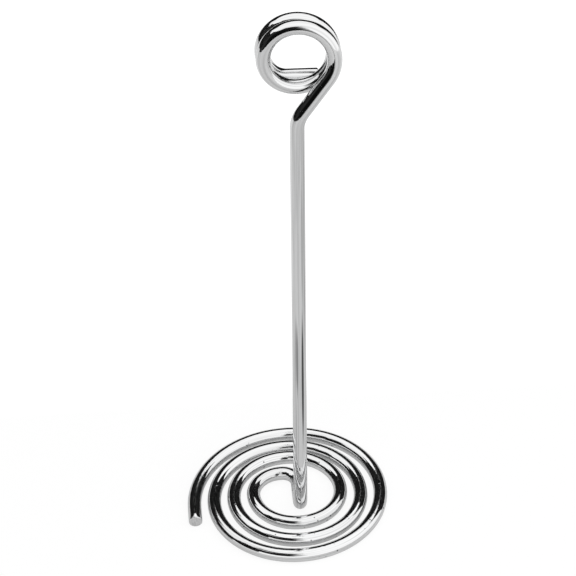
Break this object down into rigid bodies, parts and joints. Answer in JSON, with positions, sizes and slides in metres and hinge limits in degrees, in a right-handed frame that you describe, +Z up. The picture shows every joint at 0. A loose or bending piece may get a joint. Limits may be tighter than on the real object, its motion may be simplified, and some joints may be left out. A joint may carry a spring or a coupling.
{
  "type": "sign holder",
  "caption": "Table-top sign holder bent from one chromed wire: flat spiral base, upright stem and a double ring at the top whose turns grip a card.",
  "frame": {"origin": "where the axis of the stem meets the table", "axes": "+Z up along the stem, -Y towards the reader of the sign, the spiral's outer end at -X"},
  "size_m": [0.0705, 0.0663, 0.2034],
  "materials": {
    "plated_wire": "bright chrome plating on round steel wire, mirror-like"
  },
  "bodies": {
    "root": {"bent_wire": "plated_wire"}
  },
  "joints": []
}
